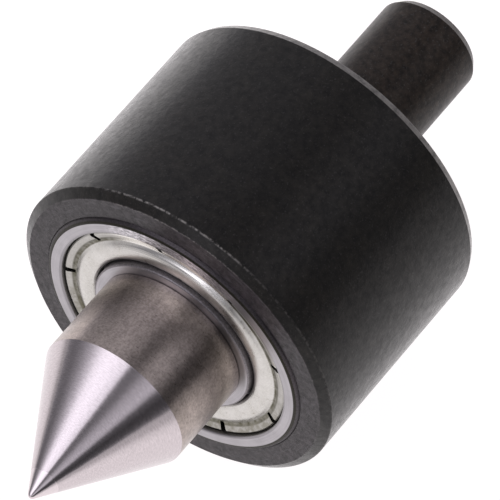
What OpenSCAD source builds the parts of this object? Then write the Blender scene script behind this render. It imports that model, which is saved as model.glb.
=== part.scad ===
// Straight-shank live center: a 60 degree point turning on two shielded
// deep-groove ball bearings inside a drum-shaped housing.
// Millimetres. The axis is X: the point looks towards -X, the shank runs
// towards +X, and the origin is on the axis at the housing's rear shoulder.

/* [Housing] */
// Outer diameter of the drum
drum_d = 48.6; // [46:0.1:60]
// Length of the drum, from its front face to its rear shoulder
drum_len = 33.6; // [33:0.1:45]
// Diameter of the straight shank
shank_d = 15; // [10:0.5:20]
// Length of the shank behind the drum
shank_len = 25.6; // [15:0.1:60]
// How far the front chamfer reaches inwards on the face
chamfer_in = 1.25; // [0.2:0.05:1.5]
// How far the front chamfer reaches back along the drum
chamfer_back = 0.95; // [0.2:0.05:3]
// How far the rear rim's chamfer reaches inwards
rear_chamfer_in = 0.45; // [0.3:0.05:2]
// How far the rear rim's chamfer reaches along the drum
rear_chamfer_len = 1; // [0.3:0.1:2]
// How far the chamfer on the shank's free end reaches inwards
shank_chamfer_in = 0.7; // [0.2:0.1:2]
// How far the chamfer on the shank's free end reaches along it
shank_chamfer_len = 1.1; // [0.2:0.1:2]

/* [Center point] */
// Included angle of the point
point_angle = 60; // [58:1:90]
// Diameter of the nose behind the cone
nose_d = 21.6; // [20:0.1:22]
// Length of the cylindrical nose ahead of the drum's face
nose_len = 13.1; // [5:0.1:25]
// Radius of the blunted tip
tip_r = 0.6; // [0.3:0.1:1]
// Distance from the sharp apex to the fine step left by dressing the tip
dressed_len = 3.8; // [3:0.1:6]
// Depth of that step
dressed_step = 0.06; // [0.02:0.01:0.1]

/* [Bearings] */
// How far the front bearing stands out of the drum's face
bearing_proud = 0.5; // [0:0.1:1]
// Width of the spacers between the two bearings
spacer_len = 3; // [1:0.5:3]
// Radial play between a ball and each raceway
ball_play = 0.02; // [0.01:0.005:0.04]

/* [Hidden] */
$fn = 96;
// Shielded deep-groove ball bearing, 17 x 40 x 12
bore_d = 17;
outer_d = 40;
width = 12;
pitch_d = 28.5;
ball_d = 6.747;
balls = 8;
groove_r = 3.51;
ring_corner = 0.75;
inner_corner = 0.6;
inner_land_r = 12.25;
inner_edge = 0.22;
outer_land_r = 16.6;
outer_recess_r = 17.6;
outer_edge = 0.35;
half_width = width / 2;
seat_z = half_width - 1.7;

// Shield: pressed sheet, crimped into a groove of the outer ring
sheet = 0.3;
shield_groove_r = 18.05;
shield_groove_z = half_width - 1.05;
crimp_slits = 9;
slit_first = 12.5;
slit_root_w = 0.65;
slit_mouth_w = 1.1;
slit_from_r = 15.9;

// Cage: two pressed halves riveted between the balls
cage_in_r = 12.95;
cage_out_r = 15.5;
cage_sheet = 0.7;
pocket_play = 0.12;
rivet_d = 1.2;
rivet_head_d = 2;
rivet_head_h = 0.35;

// Retaining ring, 17 x 1, and its groove in the spindle
clip_h = 1;
clip_groove_d = 16.2;
clip_groove_w = 1.1;
clip_band = 2.1;
clip_lug_r = 1.9;
clip_lug_at = 10.3;
clip_hole_d = 1.7;
clip_gap_angle = 26;
clip_end_gap = 0.9;

// Spacers
outer_spacer_in_d = 36;
inner_spacer_out_d = 21;

// Places along the axis
face_x = -drum_len;
front_side_x = face_x - bearing_proud;
front_mid_x = front_side_x + half_width;
spacer_x = front_side_x + width;
rear_side_x = spacer_x + spacer_len;
rear_mid_x = rear_side_x + half_width;
seat_x = rear_side_x + width;
clip_x = seat_x;

// Housing interior
drum_r = drum_d / 2;
bearing_r = outer_d / 2;
pocket_d = 30;
rear_wall = 3.2;
mouth_break = 0.05;

// Spindle
nose_r = nose_d / 2;
journal_r = bore_d / 2;
cone_base_x = face_x - nose_len;
cone_slope = tan(point_angle / 2);
apex_x = cone_base_x - nose_r / cone_slope;
tip_centre_x = apex_x + tip_r / sin(point_angle / 2);
dressed_x = apex_x + dressed_len;
dressed_r = dressed_len * cone_slope;
tail_len = 1.4;
tail_x = clip_x + clip_groove_w + tail_len;
nose_root = 0.12;

// Centre-drilled holes in the spindle's tail and the shank's end
centre_mouth_d = 5.3;
centre_pilot_d = 2.5;
centre_depth = 5.5;

// ---- Helpers ----

function unit(v) = v / norm(v);

// Round one corner b of an outline, between its neighbours a and c
function corner(a, b, c, r, steps) =
    r == 0 ? [b] :
    let (
        u = unit(a - b),
        v = unit(c - b),
        half = acos(u * v) / 2,
        centre = b + unit(u + v) * r / sin(half),
        from = b + u * r / tan(half) - centre,
        to = b + v * r / tan(half) - centre
    )
    [for (i = [0:steps]) centre + r * unit(from * (steps - i) / steps + to * i / steps)];

// An outline of [x, y, corner radius] points, with its corners rounded
function rounded(p, steps = 5) =
    let (n = len(p), at = function (i) [p[(i + n) % n][0], p[(i + n) % n][1]])
    [for (i = [0:n - 1]) each corner(at(i - 1), at(i), at(i + 1), p[i][2], steps)];

// Cut the corners of an open line, keeping its two ends
function smooth(p) =
    let (last = len(p) - 1)
    [p[0], for (i = [0:last - 1]) each [0.75 * p[i] + 0.25 * p[i + 1], 0.25 * p[i] + 0.75 * p[i + 1]], p[last]];

// The line p moved sideways by d
function beside(p, d) =
    let (last = len(p) - 1)
    [for (i = [0:last])
        let (
            before = unit(p[max(i, 1)] - p[max(i, 1) - 1]),
            after = unit(p[min(i, last - 1) + 1] - p[min(i, last - 1)]),
            along = unit(before + after)
        )
        p[i] + d / (along * after) * [-along[1], along[0]]];

// A line given the thickness of a sheet
function sheet_outline(p, t) =
    let (a = beside(p, t / 2), b = beside(p, -t / 2), last = len(p) - 1)
    concat(a, [for (i = [0:last]) b[last - i]]);

// Turn a shape drawn along Z so that its Z runs along X, and place it at x
module along_x(x = 0) {
    translate([x, 0, 0]) rotate([0, 90, 0]) children();
}

// Face the shape the other way along Z
module flipped(yes) {
    mirror([0, 0, yes ? 1 : 0]) children();
}

// A solid of revolution about X from an outline of [radius, x, corner radius]
module turned(outline) {
    along_x() rotate_extrude() polygon(rounded(outline));
}

// A 60 degree centre-drilled hole whose mouth is at x, running towards -X
module centre_hole(x) {
    countersink = (centre_mouth_d - centre_pilot_d) / 2 / tan(30);
    past = 1;
    turned([
        [0, x + past, 0],
        [centre_mouth_d / 2, x + past, 0],
        [centre_mouth_d / 2, x, 0],
        [centre_pilot_d / 2, x - countersink, 0],
        [centre_pilot_d / 2, x - centre_depth, 0],
        [0, x - centre_depth - centre_pilot_d / 4, 0],
    ]);
}

// ---- Housing and spindle ----

module housing() {
    edge = 0.15;
    face_r = drum_r - chamfer_in;
    color([0.16, 0.155, 0.16]) difference() {
        turned([
            [bearing_r + mouth_break, face_x, 0],
            [face_r, face_x, edge],
            [drum_r, face_x + chamfer_back, edge],
            [drum_r, -rear_chamfer_len, edge],
            [drum_r - rear_chamfer_in, 0, edge],
            [shank_d / 2, 0, 0],
            [shank_d / 2, shank_len - shank_chamfer_len, edge],
            [shank_d / 2 - shank_chamfer_in, shank_len, edge],
            [0, shank_len, 0],
            [0, -rear_wall, 0],
            [pocket_d / 2, -rear_wall, 0.4],
            [pocket_d / 2, seat_x, 0],
            [bearing_r, seat_x, 0],
            [bearing_r, face_x + mouth_break, 0],
        ]);
        centre_hole(shank_len);
    }
}

module center_point() {
    tip_tangent_x = tip_centre_x - tip_r * sin(point_angle / 2);
    tip_tangent_r = tip_r * cos(point_angle / 2);
    tip_arc = 90 - point_angle / 2;
    arc_steps = 6;
    groove_r = clip_groove_d / 2;
    tip = [for (i = [0:arc_steps])
        let (a = tip_arc * i / arc_steps)
        [tip_r * sin(a), tip_centre_x - tip_r * cos(a), 0]];
    color([0.62, 0.58, 0.56]) difference() {
        turned(concat(tip, [
            [dressed_r - dressed_step, dressed_x - dressed_step / cone_slope + 0.03, 0],
            [dressed_r, dressed_x, 0],
            [nose_r, cone_base_x, 0.12],
            [nose_r, front_side_x - nose_root, 0.04],
            [nose_r - nose_root, front_side_x, 0.04],
            [journal_r, front_side_x, 0.3],
            [journal_r, clip_x, 0],
            [groove_r, clip_x, 0],
            [groove_r, clip_x + clip_groove_w, 0],
            [journal_r, clip_x + clip_groove_w, 0],
            [journal_r, tail_x, 0.4],
            [0, tail_x, 0],
        ]));
        centre_hole(tail_x);
    }
}

// ---- Bearing parts, drawn with the bearing's middle at the origin and its axis along Z ----

module ring_steel() {
    color([0.74, 0.72, 0.75]) children();
}

module outer_ring() {
    race_centre = pitch_d / 2 + ball_d / 2 + ball_play - groove_r;
    half = [
        [outer_recess_r, half_width, outer_edge],
        [outer_recess_r, shield_groove_z, 0],
        [shield_groove_r, shield_groove_z, 0],
        [shield_groove_r, seat_z, 0],
        [outer_land_r, seat_z, 0.1],
    ];
    ring_steel() rotate_extrude() difference() {
        polygon(rounded(concat(
            [[bearing_r, -half_width, ring_corner], [bearing_r, half_width, ring_corner]],
            half,
            [for (i = [len(half) - 1:-1:0]) [half[i][0], -half[i][1], half[i][2]]]
        )));
        translate([race_centre, 0]) circle(r = groove_r);
    }
}

module inner_ring() {
    race_centre = pitch_d / 2 - ball_d / 2 - ball_play + groove_r;
    bore_r = bore_d / 2;
    ring_steel() rotate_extrude() difference() {
        polygon(rounded([
            [bore_r, -half_width, inner_corner],
            [inner_land_r, -half_width, inner_edge],
            [inner_land_r, half_width, inner_edge],
            [bore_r, half_width, inner_corner],
        ]));
        translate([race_centre, 0]) circle(r = groove_r);
    }
}

// Steel ball, number i of the row
module ball(i) {
    color([0.85, 0.85, 0.87]) rotate(360 / balls * i) translate([pitch_d / 2, 0, 0]) sphere(d = ball_d);
}

// One half of the cage, on the +Z side of the ball row
module cage_half() {
    pocket_r = ball_d / 2 + pocket_play;
    shell_r = pocket_r + cage_sheet;
    color([0.72, 0.66, 0.52]) difference() {
        intersection() {
            union() {
                cylinder(r = cage_out_r, h = cage_sheet);
                for (i = [0:balls - 1])
                    rotate(360 / balls * i) translate([pitch_d / 2, 0, 0]) sphere(r = shell_r);
            }
            difference() {
                cylinder(r = cage_out_r, h = shell_r + 1);
                translate([0, 0, -1]) cylinder(r = cage_in_r, h = shell_r + 3);
            }
        }
        for (i = [0:balls - 1]) {
            rotate(360 / balls * i) translate([pitch_d / 2, 0, 0]) sphere(r = pocket_r);
            rotate(360 / balls * (i + 0.5)) translate([pitch_d / 2, 0, -1]) cylinder(d = rivet_d, h = 3);
        }
    }
}

// The rivets that hold the two cage halves together
module cage_rivets() {
    head_z = cage_sheet + rivet_head_h / 2;
    color([0.6, 0.58, 0.55]) for (i = [0:balls - 1])
        rotate(360 / balls * (i + 0.5)) translate([pitch_d / 2, 0, 0]) {
            cylinder(d = rivet_d, h = 2 * cage_sheet, center = true);
            for (side = [-1, 1]) translate([0, 0, side * head_z])
                cylinder(d = rivet_head_d, h = rivet_head_h, center = true);
        }
}

// Pressed shield on the +Z side: inner lip, dome, valley, and a slit rim crimped into its groove
module shield() {
    lip_r = 12.62;
    rim_r = 17.42;
    foot_z = half_width - 1.54;
    line = [
        [lip_r, foot_z - 0.05], [lip_r, foot_z + 0.6], [lip_r + 0.4, foot_z + 0.95],
        [lip_r + 1, foot_z + 1.16], [lip_r + 1.6, foot_z + 1.2], [lip_r + 2.1, foot_z + 1.12],
        [lip_r + 2.5, foot_z + 0.93], [lip_r + 2.85, foot_z + 0.66], [lip_r + 3.15, foot_z + 0.48],
        [rim_r - 1.3, foot_z + 0.52], [rim_r - 0.7, foot_z + 0.76], [rim_r - 0.3, foot_z + 0.93],
        [rim_r - 0.06, foot_z + 0.8], [rim_r, foot_z + 0.25], [shield_groove_r - 0.1, foot_z],
    ];
    slit = [
        [slit_from_r, slit_root_w / 2], [shield_groove_r, slit_mouth_w / 2],
        [shield_groove_r, -slit_mouth_w / 2], [slit_from_r, -slit_root_w / 2],
    ];
    color([0.8, 0.79, 0.74]) difference() {
        rotate_extrude() polygon(sheet_outline(smooth(line), sheet));
        for (i = [0:crimp_slits - 1])
            rotate(slit_first + 360 / crimp_slits * i) translate([0, 0, foot_z - 1])
                linear_extrude(3) polygon(slit);
    }
}

// ---- Spacers and retaining ring ----

// Plain ring from z = 0 to h
module ring(in_d, out_d, h) {
    difference() {
        cylinder(d = out_d, h = h);
        translate([0, 0, -1]) cylinder(d = in_d, h = h + 2);
    }
}

module outer_spacer() {
    color([0.5, 0.5, 0.52]) along_x(spacer_x) ring(outer_spacer_in_d, outer_d, spacer_len);
}

module inner_spacer() {
    color([0.5, 0.5, 0.52]) along_x(spacer_x) ring(bore_d, inner_spacer_out_d, spacer_len);
}

// External retaining ring with two lugs for its pliers
module retaining_ring() {
    in_r = clip_groove_d / 2;
    wide = clip_lug_at + clip_lug_r + 1;
    lug_angle = clip_gap_angle / 2;
    color([0.25, 0.25, 0.27]) along_x(clip_x) linear_extrude(clip_h) difference() {
        union() {
            translate([-0.25, 0]) circle(r = in_r + clip_band);
            for (side = [-1, 1]) rotate(side * lug_angle) translate([clip_lug_at, 0]) circle(r = clip_lug_r);
        }
        circle(r = in_r);
        translate([0, -clip_end_gap / 2]) square([wide, clip_end_gap]);
        for (side = [-1, 1]) rotate(side * lug_angle) translate([clip_lug_at, 0]) circle(d = clip_hole_d);
    }
}

// ---- Assembly ----

// One bearing, its middle at mid_x, each part under its own name
module bearing(name, mid_x) {
    along_x(mid_x) {
        outer_ring();
        inner_ring();
        flipped(true) cage_half();
        cage_half();
        cage_rivets();
        flipped(true) shield();
        shield();
        for (i = [1:balls])
            ball(i - 1);
    }
}

housing();
center_point();
bearing("front", front_mid_x);
bearing("rear", rear_mid_x);
outer_spacer();
inner_spacer();
retaining_ring();
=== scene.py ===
"""Looks of the live center: materials, floor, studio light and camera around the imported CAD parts."""

import math

import bpy
from mathutils import Matrix, Vector


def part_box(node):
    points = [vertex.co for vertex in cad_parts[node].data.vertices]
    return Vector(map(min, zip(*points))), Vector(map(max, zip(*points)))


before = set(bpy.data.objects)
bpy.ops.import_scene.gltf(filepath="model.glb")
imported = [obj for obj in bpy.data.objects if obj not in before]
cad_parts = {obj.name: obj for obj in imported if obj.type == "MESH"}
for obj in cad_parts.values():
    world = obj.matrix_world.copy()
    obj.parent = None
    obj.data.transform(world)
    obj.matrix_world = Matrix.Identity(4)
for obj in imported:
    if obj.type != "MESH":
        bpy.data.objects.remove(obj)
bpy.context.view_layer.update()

MM = 0.001

# Places taken from the CAD parts. The axis of the whole object is X, the point looks towards -X.
housing_low, housing_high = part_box("housing")
FACE_X = housing_low.x
DRUM_R = housing_high.z
SHANK_END_X = housing_high.x
FLOOR_Z = housing_low.z

# Sizes that the boxes don't show, as in the CAD source
CHAMFER_IN = 1.25 * MM
CHAMFER_BACK = 0.95 * MM
REAR_CHAMFER_IN = 0.45 * MM
REAR_CHAMFER_LEN = 1.0 * MM
SHANK_R = 7.5 * MM
SHANK_CHAMFER_LEN = 1.1 * MM
NOSE_R = 10.8 * MM
NOSE_LEN = 13.1 * MM
CONE_HALF_DEGREES = 30
DRESSED_LEN = 3.8 * MM
CONE_BASE_X = FACE_X - NOSE_LEN
APEX_X = CONE_BASE_X - NOSE_R / math.tan(math.radians(CONE_HALF_DEGREES))
DRESSED_X = APEX_X + DRESSED_LEN

# Radii on the bearing's face, from the outside inwards
RING_FLAT_OUT_R = 19.25 * MM
RING_FLAT_IN_R = 17.95 * MM
RING_RECESS_R = 17.6 * MM
SHIELD_VALLEY_R = 15.85 * MM
INNER_CORNER_R = 12.6 * MM
INNER_FLAT_R = 12.03 * MM
ROOT_OIL_AND_SHADE_R = 11.75 * MM
# The ring's side faces are farther than this from its middle
RING_SIDE_FROM = 4.9 * MM

# Balls in each of the two bearings
BALLS = 8


# ---- Node helpers ----

class Tree:
    """A node tree with short calls for the nodes that these materials use."""

    def __init__(self, tree):
        self.tree = tree
        tree.nodes.clear()

    def add(self, kind, inputs=None, **settings):
        node = self.tree.nodes.new(kind)
        for name, value in settings.items():
            setattr(node, name, value)
        for name, value in (inputs or {}).items():
            self.put(node.inputs[name], value)
        return node

    def put(self, socket, value):
        if isinstance(value, bpy.types.NodeSocket):
            self.tree.links.new(value, socket)
        else:
            socket.default_value = value

    def math(self, operation, a, b=0.0, c=0.0):
        node = self.add("ShaderNodeMath", {0: a, 1: b, 2: c}, operation=operation)
        return node.outputs[0]

    def vector(self, x, y, z):
        return self.add("ShaderNodeCombineXYZ", {0: x, 1: y, 2: z}).outputs[0]

    def noise(self, vector, scale=1.0, detail=3.0, rough=0.5):
        node = self.add("ShaderNodeTexNoise",
                        {"Vector": vector, "Scale": scale, "Detail": detail, "Roughness": rough})
        return node.outputs[0]

    def remap(self, value, low, high, to_low=0.0, to_high=1.0, smooth=False):
        node = self.add("ShaderNodeMapRange",
                        {"Value": value, "From Min": low, "From Max": high,
                         "To Min": to_low, "To Max": to_high},
                        interpolation_type="SMOOTHSTEP" if smooth else "LINEAR")
        return node.outputs[0]

    def times(self, *values):
        product = values[0]
        for value in values[1:]:
            product = self.math("MULTIPLY", product, value)
        return product

    def most(self, *values):
        result = values[0]
        for value in values[1:]:
            result = self.math("MAXIMUM", result, value)
        return result

    def mix(self, factor, a, b):
        node = self.add("ShaderNodeMix", data_type="RGBA")
        self.put(node.inputs[0], factor)
        self.put(node.inputs[6], a)
        self.put(node.inputs[7], b)
        return node.outputs[2]

    def tint(self, color, factor):
        """A colour multiplied by a grey factor."""
        node = self.add("ShaderNodeVectorMath", {0: color, 1: self.vector(factor, factor, factor)},
                        operation="MULTIPLY")
        return node.outputs[0]

    def bump(self, height, depth, strength=1.0, normal=None):
        inputs = {"Height": height, "Distance": depth, "Strength": strength}
        if normal is not None:
            inputs["Normal"] = normal
        return self.add("ShaderNodeBump", inputs).outputs[0]

    def finish(self, shader):
        out = self.add("ShaderNodeOutputMaterial")
        self.put(out.inputs["Surface"], shader.outputs[0])


class Lathe:
    """Coordinates of a piece turned about the X axis, for use in its material."""

    def __init__(self, tree):
        self.t = tree
        self.position = tree.add("ShaderNodeTexCoord").outputs["Object"]
        split = tree.add("ShaderNodeSeparateXYZ", {0: self.position})
        self.x, y, z = split.outputs
        across = tree.vector(0.0, y, z)
        self.r = tree.add("ShaderNodeVectorMath", {0: across}, operation="LENGTH").outputs["Value"]
        spoke = tree.add("ShaderNodeVectorMath", {0: across}, operation="NORMALIZE").outputs[0]
        spoke_split = tree.add("ShaderNodeSeparateXYZ", {0: spoke})
        self.cos, self.sin = spoke_split.outputs[1], spoke_split.outputs[2]

    def marks(self, pitch, wander=2.0, detail=2.0, rough=0.6):
        """Noise that runs round the axis as tool marks do, with the given pitch in metres."""
        t = self.t
        # The radius counts as well as x, so that the marks show on flat faces too
        radius_share = 0.7
        along = t.math("MULTIPLY_ADD", self.r, radius_share, self.x)
        vector = t.vector(t.math("DIVIDE", along, pitch),
                          t.times(self.cos, wander), t.times(self.sin, wander))
        return t.noise(vector, 1.0, detail, rough)

    def tangent(self):
        """Across the tool marks: along the profile, in world space."""
        t = self.t
        lean = 0.35
        local = t.vector(1.0, t.times(self.cos, lean), t.times(self.sin, lean))
        node = t.add("ShaderNodeVectorTransform", {0: local},
                     vector_type="VECTOR", convert_from="OBJECT", convert_to="WORLD")
        return node.outputs[0]

    def near_edge(self, edge_x, edge_r, width):
        """1 on a circular edge of the profile, falling to 0 at the given distance."""
        t = self.t
        dx = t.math("SUBTRACT", self.x, edge_x)
        dr = t.math("SUBTRACT", self.r, edge_r)
        gap = t.math("SQRT", t.math("MULTIPLY_ADD", dx, dx, t.times(dr, dr)))
        return t.remap(gap, 0.0, width, 1.0, 0.0, smooth=True)

    def above(self, value, edge, blend):
        """0 below an edge and 1 above it, with a soft step of the given width."""
        return self.t.remap(value, edge - blend / 2, edge + blend / 2, smooth=True)

    def below(self, value, edge, blend):
        """1 below an edge and 0 above it, with a soft step of the given width."""
        return self.t.remap(value, edge - blend / 2, edge + blend / 2, 1.0, 0.0, smooth=True)


def new_material(name):
    material = bpy.data.materials.new(name)
    material.use_nodes = True
    return material, Tree(material.node_tree)


def dress(material, *nodes):
    for name in nodes:
        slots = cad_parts[name].data.materials
        slots.clear()
        slots.append(material)


# ---- Materials ----

def oxide_wear(t, lathe):
    """Share of bare steel on the edges of the housing, most of it at the top of the front rim."""
    chips = t.remap(t.noise(lathe.position, 1500.0, 3.0, 0.6), 0.42, 0.60)
    at_top = t.remap(lathe.sin, 0.86, 0.98, 0.2, 1.0, smooth=True)
    outer_edge = lathe.near_edge(FACE_X + CHAMFER_BACK, DRUM_R, 0.24 * MM)
    inner_edge = lathe.near_edge(FACE_X, DRUM_R - CHAMFER_IN, 0.2 * MM)
    front = t.most(outer_edge, t.times(inner_edge, 0.7))
    front = t.times(front, chips, at_top, 0.9)

    rim_chips = t.remap(t.noise(lathe.position, 900.0, 3.0, 0.6), 0.30, 0.55, 0.35, 1.0)
    rear = t.times(lathe.above(lathe.x, -REAR_CHAMFER_LEN, 0.1 * MM),
                   lathe.below(lathe.x, -0.04 * MM, 0.06 * MM),
                   lathe.above(lathe.r, DRUM_R - 1.5 * REAR_CHAMFER_IN, 0.1 * MM),
                   rim_chips, 0.75)
    shank_end = t.times(lathe.above(lathe.x, SHANK_END_X - SHANK_CHAMFER_LEN, 0.1 * MM), rim_chips, 0.35)
    return t.most(front, rear, shank_end)


def black_oxide():
    """Hot-blackened turned steel with a film of oil: near black, mottled, worn bright on its edges."""
    cool = (0.0060, 0.0053, 0.0042, 1)
    warm = (0.0080, 0.0068, 0.0050, 1)
    shank_brown = (0.022, 0.0155, 0.0110, 1)
    face_grey = (0.025, 0.0195, 0.0230, 1)
    speck_grey = (0.065, 0.062, 0.060, 1)
    scratch_grey = (0.065, 0.060, 0.068, 1)
    bare_steel = (0.30, 0.285, 0.27, 1)

    material, t = new_material("black_oxide_steel")
    lathe = Lathe(t)
    patches = t.noise(lathe.position, 230.0, 3.0, 0.55)
    mottle = t.noise(lathe.position, 1100.0, 4.0, 0.65)
    specks = t.noise(lathe.position, 3600.0, 2.0, 0.5)
    turned = lathe.marks(0.13 * MM, wander=3.0)
    on_face = lathe.below(lathe.x, FACE_X + 0.05 * MM, 0.06 * MM)
    on_shank = t.times(lathe.above(lathe.x, 0.05 * MM, 0.1 * MM),
                       lathe.below(lathe.r, SHANK_R + 0.1 * MM, 0.1 * MM))

    base = t.mix(t.remap(patches, 0.38, 0.62), cool, warm)
    base = t.mix(on_shank, base, shank_brown)
    base = t.mix(on_face, base, face_grey)
    base = t.tint(base, t.remap(mottle, 0.3, 0.7, 0.2, 1.8))

    # Fine light specks, more of them on the face and on the shank
    speck_share = t.math("MULTIPLY_ADD", t.most(on_face, t.times(on_shank, 0.6)), 0.6, 0.3)
    base = t.mix(t.times(t.remap(specks, 0.60, 0.74), speck_share), base, speck_grey)

    # Curved scratches on the face
    scratch = t.times(on_face, t.remap(lathe.marks(0.3 * MM, wander=7.0, detail=3.0), 0.56, 0.68))
    base = t.mix(t.times(scratch, 0.6), base, scratch_grey)

    bare = oxide_wear(t, lathe)
    base = t.mix(bare, base, bare_steel)

    normal = t.bump(turned, 0.010 * MM, 0.3)
    normal = t.bump(mottle, 0.110 * MM, 0.35, normal)
    normal = t.bump(specks, 0.020 * MM, 0.45, normal)
    normal = t.bump(scratch, 0.010 * MM, 0.5, normal)

    # The oil lies unevenly, thinner on the shank and in the grain of the face
    face_grain = t.math("MULTIPLY_ADD", on_face, t.remap(specks, 0.38, 0.62, -0.35, 0.0), 1.0)
    coat = t.times(t.remap(mottle, 0.35, 0.65, 0.6, 1.0),
                   t.remap(on_shank, 0.0, 1.0, 1.0, 0.50), face_grain)
    shader = t.add("ShaderNodeBsdfPrincipled",
                   {"Base Color": base, "Metallic": bare, "Roughness": 0.55, "IOR": 1.3, "Normal": normal,
                    "Coat Weight": coat, "Coat IOR": 1.25,
                    "Coat Roughness": 0.2, "Coat Normal": normal})
    t.finish(shader)
    return material


def turned_point():
    """Center point: bright finely turned cone, duller worn nose behind it."""
    cone_low = (0.555, 0.505, 0.52, 1)
    cone_high = (0.66, 0.602, 0.62, 1)
    nose_low = (0.345, 0.297, 0.273, 1)
    nose_high = (0.435, 0.374, 0.344, 1)
    stain = (0.24, 0.215, 0.185, 1)
    dressed_steel = (0.78, 0.71, 0.73, 1)

    material, t = new_material("turned_steel")
    lathe = Lathe(t)
    on_nose = lathe.above(lathe.x, CONE_BASE_X, 0.02 * MM)
    fine = lathe.marks(0.05 * MM, wander=5.0, detail=1.0)
    streaks = lathe.marks(0.16 * MM, wander=14.0, detail=3.0)
    cloud = t.noise(lathe.position, 700.0, 4.0, 0.65)
    stains = t.noise(lathe.position, 180.0, 3.0, 0.6)
    grain = t.noise(lathe.position, 3200.0, 2.0, 0.6)

    cone = t.mix(t.remap(streaks, 0.35, 0.65), cone_low, cone_high)
    nose = t.mix(t.remap(cloud, 0.35, 0.65), nose_low, nose_high)
    nose = t.mix(t.remap(stains, 0.52, 0.66, 0.0, 0.22), nose, stain)
    nose = t.tint(nose, t.remap(streaks, 0.3, 0.7, 0.90, 1.10))
    nose = t.tint(nose, t.remap(grain, 0.35, 0.65, 0.82, 1.18))
    base = t.mix(on_nose, cone, nose)

    # Where the tip was dressed the surface is a shade brighter
    dressed = lathe.below(lathe.x, DRESSED_X, 0.05 * MM)
    base = t.mix(t.times(dressed, 0.6), base, dressed_steel)

    rough = t.math("MULTIPLY_ADD", on_nose, 0.12, t.remap(streaks, 0.3, 0.7, 0.15, 0.20))
    normal = t.bump(fine, 0.003 * MM, 0.5)
    normal = t.bump(streaks, 0.004 * MM, 0.35, normal)
    normal = t.bump(t.times(cloud, on_nose), 0.030 * MM, 0.3, normal)
    shader = t.add("ShaderNodeBsdfPrincipled",
                   {"Base Color": base, "Metallic": 1.0, "Roughness": rough, "Normal": normal,
                    "Anisotropic": 0.6, "Tangent": lathe.tangent()})
    t.finish(shader)
    return material


def ring_scuffs(t, lathe, base):
    """The given colour with scuffs at the top of the outer ring."""
    place = t.vector(t.times(lathe.r, 5200.0), t.times(lathe.cos, 26.0), t.times(lathe.sin, 26.0))
    scuffs = t.noise(place, 1.0, 3.0, 0.65)
    at_top = t.times(lathe.above(lathe.r, RING_RECESS_R, 0.1 * MM),
                     t.remap(lathe.sin, 0.80, 0.96, smooth=True))
    scuffed = t.tint(base, t.remap(scuffs, 0.36, 0.64, 0.55, 2.1))
    return t.mix(at_top, base, scuffed)


def ring_corners(t, lathe, at_side, base):
    """The given colour with the parts that are left unground, the outer corner darkened further as painted
    shade, and the share of them.
    """
    outer_corner = lathe.above(lathe.r, RING_FLAT_OUT_R, 0.06 * MM)
    outer_edge = lathe.above(lathe.r, RING_FLAT_OUT_R + 0.4 * MM, 0.08 * MM)
    wall = t.times(at_side, lathe.below(lathe.r, RING_RECESS_R + 0.04 * MM, 0.06 * MM),
                   lathe.above(lathe.r, RING_RECESS_R - 0.6 * MM, 0.1 * MM))
    inner_corner = t.times(lathe.above(lathe.r, INNER_FLAT_R, 0.05 * MM),
                           lathe.below(lathe.r, INNER_CORNER_R, 0.1 * MM))

    scale = t.remap(t.noise(lathe.position, 4200.0, 2.0), 0.35, 0.65, 0.8, 1.25)
    base = t.mix(wall, base, t.tint((0.16, 0.155, 0.15), scale))
    # Outer corner: dark unground steel, painted near black as shade in the gap at the housing's mouth
    base = t.mix(outer_corner, base, t.tint((0.030, 0.028, 0.022), scale))
    base = t.mix(outer_edge, base, t.tint((0.070, 0.063, 0.068), scale))
    base = t.mix(inner_corner, base, t.tint((0.21, 0.195, 0.205), scale))
    return base, t.most(outer_corner, wall, inner_corner)


def root_oil_and_shade(t, lathe):
    """Share of old oil and painted shade in the corner between the inner ring and the nose, on one side."""
    return t.times(lathe.below(lathe.r, ROOT_OIL_AND_SHADE_R, 0.5 * MM),
                   t.remap(lathe.cos, -0.90, -0.55, 0.6, 0.0, smooth=True),
                   t.remap(lathe.sin, -0.35, 0.05, smooth=True))


def ground_ring(name, mid_x):
    """Bearing rings: ground side faces with fine concentric lines, unground dark corners, painted shade in
    the outer corner and at the nose root.
    """
    ground_low = (0.36, 0.347, 0.365, 1)
    ground_high = (0.45, 0.435, 0.455, 1)
    bevel_grey = (0.20, 0.19, 0.20, 1)
    # Colour of old oil and painted shade at the nose root
    oil = (0.10, 0.092, 0.085, 1)

    material, t = new_material(name)
    lathe = Lathe(t)
    lines = lathe.marks(0.10 * MM, wander=2.0, detail=3.0)
    cloud = t.noise(lathe.position, 320.0, 4.0, 0.6)
    from_middle = t.math("ABSOLUTE", t.math("SUBTRACT", lathe.x, mid_x))
    at_side = lathe.above(from_middle, RING_SIDE_FROM, 0.1 * MM)

    base = t.mix(t.remap(lines, 0.3, 0.7), ground_low, ground_high)
    base = t.tint(base, t.remap(cloud, 0.3, 0.7, 0.90, 1.06))
    base = ring_scuffs(t, lathe, base)
    bevel = t.times(at_side, lathe.above(lathe.r, RING_RECESS_R - 0.1 * MM, 0.02 * MM),
                    lathe.below(lathe.r, RING_FLAT_IN_R, 0.12 * MM))
    base = t.mix(t.times(bevel, 0.55), base, bevel_grey)
    base, unground = ring_corners(t, lathe, at_side, base)
    # Old oil and painted shade at the nose root, on one side only
    base = t.mix(root_oil_and_shade(t, lathe), base, oil)

    rough = t.math("MULTIPLY_ADD", unground, 0.15, t.remap(lines, 0.3, 0.7, 0.29, 0.36))
    shader = t.add("ShaderNodeBsdfPrincipled",
                   {"Base Color": base, "Metallic": 1.0, "Roughness": rough,
                    "Normal": t.bump(lines, 0.004 * MM, 0.5),
                    "Anisotropic": 0.5, "Tangent": lathe.tangent()})
    t.finish(shader)
    return material


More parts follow.
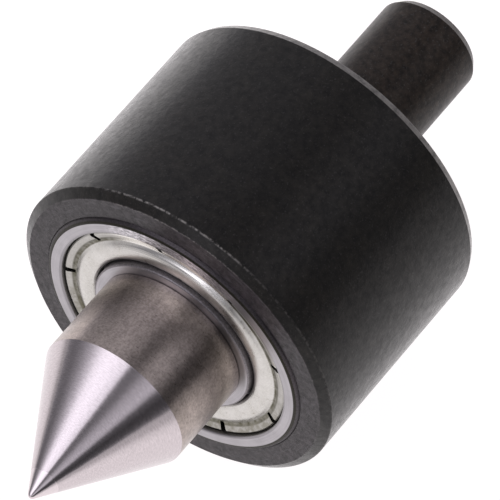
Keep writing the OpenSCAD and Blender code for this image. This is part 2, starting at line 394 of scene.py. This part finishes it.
def shield_oil_and_painted_light(t, lathe, base):
    """The given colour with oil and painted shade all round in the valley, a darker rim with a painted
    highlight at its top, and darker patches low on the rim.
    """
    valley_oil_and_shade = (0.055, 0.050, 0.020, 1)
    low_rim_grey = (0.20, 0.19, 0.15, 1)

    # Oil and painted shade in the valley between dome and rim, weaker towards the top where the light falls
    patches = t.remap(t.noise(lathe.position, 900.0, 3.0, 0.6), 0.35, 0.60, 0.7, 1.0)
    valley = t.times(lathe.above(lathe.r, SHIELD_VALLEY_R - 0.13 * MM, 0.2 * MM),
                     lathe.below(lathe.r, SHIELD_VALLEY_R + 0.55 * MM, 0.25 * MM), patches,
                     t.remap(lathe.sin, 0.70, 0.95, 1.0, 0.4, smooth=True))
    base = t.mix(t.times(valley, 0.95), base, valley_oil_and_shade)

    # The rim is darker than the dome all round, except near its top, where a painted highlight makes it
    # brighter
    on_rim = lathe.above(lathe.r, SHIELD_VALLEY_R + 0.25 * MM, 0.2 * MM)
    rim_dim_with_painted_highlight = t.remap(lathe.sin, 0.75, 0.97, 0.74, 1.1, smooth=True)
    base = t.tint(base, t.math("MULTIPLY_ADD", on_rim, t.math("SUBTRACT", rim_dim_with_painted_highlight, 1.0), 1.0))

    # Grey patches low on the rim: the rim is darker towards the bottom
    low_side = t.remap(lathe.sin, -0.5, 0.1, 1.0, 0.25, smooth=True)
    low_rim_patches = t.times(lathe.above(lathe.r, SHIELD_VALLEY_R + 0.2 * MM, 0.3 * MM), low_side,
                     t.remap(t.noise(lathe.position, 750.0, 4.0, 0.7), 0.42, 0.58, 0.2, 0.75))
    return t.mix(low_rim_patches, base, low_rim_grey)


def plated_shield():
    """Pressed shield: creamy matt plating, oil and painted shade in the valley by its crimped rim, a
    painted highlight at its top.
    """
    plating_low = (0.56, 0.548, 0.515, 1)
    plating_high = (0.68, 0.668, 0.64, 1)
    spot_brown = (0.22, 0.20, 0.15, 1)
    painted_highlight_color = (0.92, 0.90, 0.86, 1)

    material, t = new_material("plated_shield")
    lathe = Lathe(t)
    cloud = t.noise(lathe.position, 420.0, 4.0, 0.6)
    grain = t.noise(lathe.position, 4200.0, 3.0, 0.6)
    spots = t.noise(lathe.position, 1900.0, 2.0, 0.5)
    base = t.mix(t.remap(cloud, 0.35, 0.65), plating_low, plating_high)
    base = t.tint(base, t.remap(grain, 0.3, 0.7, 0.90, 1.06))
    base = t.mix(t.times(t.remap(spots, 0.66, 0.74), 0.5), base, spot_brown)
    base = shield_oil_and_painted_light(t, lathe, base)
    # Painted highlight: a near-white streak at the top of the shield, which is also made smoother there
    painted_highlight = t.times(lathe.above(lathe.r, SHIELD_VALLEY_R - 1.0 * MM, 0.5 * MM),
                     t.remap(lathe.sin, 0.80, 0.95, smooth=True))
    base = t.mix(t.times(painted_highlight, 0.9), base, painted_highlight_color)

    rough = t.times(t.remap(cloud, 0.3, 0.7, 0.25, 0.35), t.remap(painted_highlight, 0.0, 1.0, 1.0, 0.65))
    normal = t.bump(cloud, 0.030 * MM, 0.25)
    normal = t.bump(grain, 0.008 * MM, 0.4, normal)
    shader = t.add("ShaderNodeBsdfPrincipled",
                   {"Base Color": base, "Metallic": 1.0, "Roughness": rough, "Normal": normal})
    t.finish(shader)
    return material


def inner_steel(name, low, high, roughness):
    """Plain steel of the pieces inside, with a light cloud and fine grain."""
    material, t = new_material(name)
    position = t.add("ShaderNodeTexCoord").outputs["Object"]
    cloud = t.noise(position, 500.0, 3.0)
    grain = t.noise(position, 4000.0, 2.0)
    shader = t.add("ShaderNodeBsdfPrincipled",
                   {"Base Color": t.mix(t.remap(cloud, 0.35, 0.65), low, high), "Metallic": 1.0,
                    "Roughness": t.remap(grain, 0.3, 0.7, roughness, roughness + 0.08),
                    "Normal": t.bump(grain, 0.003 * MM, 0.3)})
    t.finish(shader)
    return material


def dress_all():
    dress(black_oxide(), "housing")
    dress(turned_point(), "center_point")
    shield = plated_shield()
    cage = inner_steel("cage_steel", (0.42, 0.38, 0.29, 1), (0.50, 0.46, 0.37, 1), 0.35)
    rivet = inner_steel("rivet_steel", (0.40, 0.38, 0.35, 1), (0.48, 0.46, 0.43, 1), 0.38)
    ball = inner_steel("polished_ball_steel", (0.66, 0.66, 0.68, 1), (0.70, 0.70, 0.72, 1), 0.06)
    spacer = inner_steel("spacer_steel", (0.30, 0.30, 0.31, 1), (0.36, 0.36, 0.37, 1), 0.32)
    spring = inner_steel("spring_steel", (0.05, 0.05, 0.055, 1), (0.08, 0.08, 0.085, 1), 0.35)
    for place in ("front", "rear"):
        low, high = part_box(f"{place}_outer_ring")
        ring = ground_ring(f"{place}_ring_steel", (low.x + high.x) / 2)
        dress(ring, f"{place}_outer_ring", f"{place}_inner_ring")
        dress(shield, f"{place}_shield_fore", f"{place}_shield_aft")
        dress(cage, f"{place}_cage_fore", f"{place}_cage_aft")
        dress(rivet, f"{place}_cage_rivets")
        dress(ball, *[f"{place}_ball_{i}" for i in range(1, BALLS + 1)])
    dress(spacer, "outer_spacer", "inner_spacer")
    dress(spring, "retaining_ring")


# ---- Floor and studio light ----

FLOOR_GLOW_COLOR = (1.03, 0.99, 1.0, 1)
FLOOR_PAINT_COLOR = (0.16, 0.16, 0.16, 1)
STUDIO_COLOR = (0.99, 0.97, 1.05, 1)


def floor_glow(t):
    """Strength of the floor's own light: nearly full round the object, a painted pool of light beside
    the drum on the +Y side, and painted shade far out on the other side and far ahead of the point."""
    place = t.add("ShaderNodeTexCoord").outputs["Object"]
    x, y, _ = t.add("ShaderNodeSeparateXYZ", {0: place}).outputs
    behind = t.math("MULTIPLY_ADD", y, -0.45, x)
    # Painted shade: the glow falls off far out on the -Y side and far ahead of the point
    painted_shade_falloff = t.times(t.remap(y, -150 * MM, -40 * MM, 0.50, 0.98, smooth=True),
                   t.remap(behind, -230 * MM, -60 * MM, 0.35, 1.0, smooth=True))
    # Painted pool of light on the floor beside the drum, on the +Y side
    painted_light_pool = t.times(t.remap(y, 5 * MM, 85 * MM, 0.0, 0.40, smooth=True),
                          t.remap(behind, -70 * MM, -10 * MM, smooth=True))
    return t.math("ADD", painted_shade_falloff, painted_light_pool)


def make_floor():
    """A white floor that the drum rests on. Most of its light is its own, so that it stays pale."""
    half = 2.0
    corners = [(-half, -half, FLOOR_Z), (half, -half, FLOOR_Z),
               (half, half, FLOOR_Z), (-half, half, FLOOR_Z)]
    mesh = bpy.data.meshes.new("floor")
    mesh.from_pydata(corners, [], [(0, 1, 2, 3)])
    floor = bpy.data.objects.new("floor", mesh)
    bpy.context.scene.collection.objects.link(floor)
    material, t = new_material("floor_white")
    glow = t.add("ShaderNodeEmission", {"Color": FLOOR_GLOW_COLOR, "Strength": floor_glow(t)})
    paint = t.add("ShaderNodeBsdfDiffuse", {"Color": FLOOR_PAINT_COLOR})
    both = t.add("ShaderNodeAddShader")
    t.put(both.inputs[0], glow.outputs[0])
    t.put(both.inputs[1], paint.outputs[0])
    t.finish(both)
    mesh.materials.append(material)


# Brightness of the studio round the X axis, by angle in degrees from +Y over +Z to -Y.
# Ahead of the point a large key panel stands over the +Y side and a dim one over the -Y side.
AHEAD = [(0, 0.26), (8, 0.18), (16, 0.20), (28, 0.36), (40, 0.70), (46, 1.00), (54, 1.45), (64, 1.66),
         (74, 1.60), (84, 1.44), (95, 1.22), (98, 0.21), (107, 0.18), (114, 0.24), (125, 0.52), (141, 0.70),
         (146, 0.55), (151, 0.12), (163, 0.05), (175, 0.08), (184, 0.30), (355, 0.30)]
# Behind the drum the +Y side is much dimmer above and bright low down, and the -Y side is as bright
BEHIND = [(0, 0.86), (7, 0.62), (18, 0.48), (28, 0.48), (38, 0.54), (54, 0.53), (70, 0.48), (82, 0.38),
          (92, 0.25), (102, 0.14), (107, 0.17), (115, 0.42), (126, 0.70), (138, 0.62), (146, 0.36),
          (152, 0.12), (163, 0.05), (176, 0.08), (184, 0.30), (345, 0.86)]
# Level that a full white stands for, since a ramp's colours end at 1
BRIGHTEST = 2.0
TURN = 360.0


def ramp(t, turn_share, points):
    """Brightness by share of a full turn, from pairs of degrees and level."""
    node = t.add("ShaderNodeValToRGB", {0: turn_share})
    elements = node.color_ramp.elements
    for i, (degrees, level) in enumerate(points):
        element = elements[i] if i < 2 else elements.new(degrees / TURN)
        element.position = degrees / TURN
        element.color = (level / BRIGHTEST,) * 3 + (1,)
    return t.times(node.outputs[0], BRIGHTEST)


def make_world():
    world = bpy.data.worlds.new("studio")
    bpy.context.scene.world = world
    world.use_nodes = True
    t = Tree(world.node_tree)
    direction = t.add("ShaderNodeTexCoord").outputs["Generated"]
    x, y, z = t.add("ShaderNodeSeparateXYZ", {0: direction}).outputs
    angle = t.math("FRACT", t.math("DIVIDE", t.math("ARCTAN2", z, y), 2 * math.pi))
    share_behind = t.remap(x, -0.1, 0.4, smooth=True)
    ahead_part = t.times(ramp(t, angle, AHEAD), t.math("SUBTRACT", 1.0, share_behind))
    strength = t.math("MULTIPLY_ADD", ramp(t, angle, BEHIND), share_behind, ahead_part)
    background = t.add("ShaderNodeBackground", {"Color": STUDIO_COLOR, "Strength": strength})
    out = t.add("ShaderNodeOutputWorld")
    t.put(out.inputs["Surface"], background.outputs[0])


# ---- Camera ----

CAMERA_AZIMUTH = -54.74
CAMERA_ELEVATION = 53.74
LENS_MM = 443.3
CAMERA_DISTANCE = 0.7954
# The middle of the view, from the centre of the drum's face, to the camera's right and up
AIM_RIGHT = 9.91 * MM
AIM_UP = 10.84 * MM


def make_camera():
    azimuth = math.radians(CAMERA_AZIMUTH)
    elevation = math.radians(CAMERA_ELEVATION)
    right = Vector((math.cos(azimuth), math.sin(azimuth), 0))
    back = Vector((math.sin(azimuth) * math.cos(elevation),
                   -math.cos(azimuth) * math.cos(elevation), math.sin(elevation)))
    up = back.cross(right)
    place = Vector((FACE_X, 0, 0)) + right * AIM_RIGHT + up * AIM_UP + back * CAMERA_DISTANCE
    camera = bpy.data.objects.new("camera", bpy.data.cameras.new("camera"))
    bpy.context.scene.collection.objects.link(camera)
    camera.matrix_world = Matrix.Translation(place) @ Matrix((right, up, back)).transposed().to_4x4()
    camera.data.lens = LENS_MM
    camera.data.sensor_width = 36.0
    camera.data.clip_start = 0.01
    camera.data.clip_end = 20.0
    bpy.context.scene.camera = camera


make_camera()
dress_all()
make_floor()
make_world()
bpy.context.scene.view_settings.view_transform = "Standard"
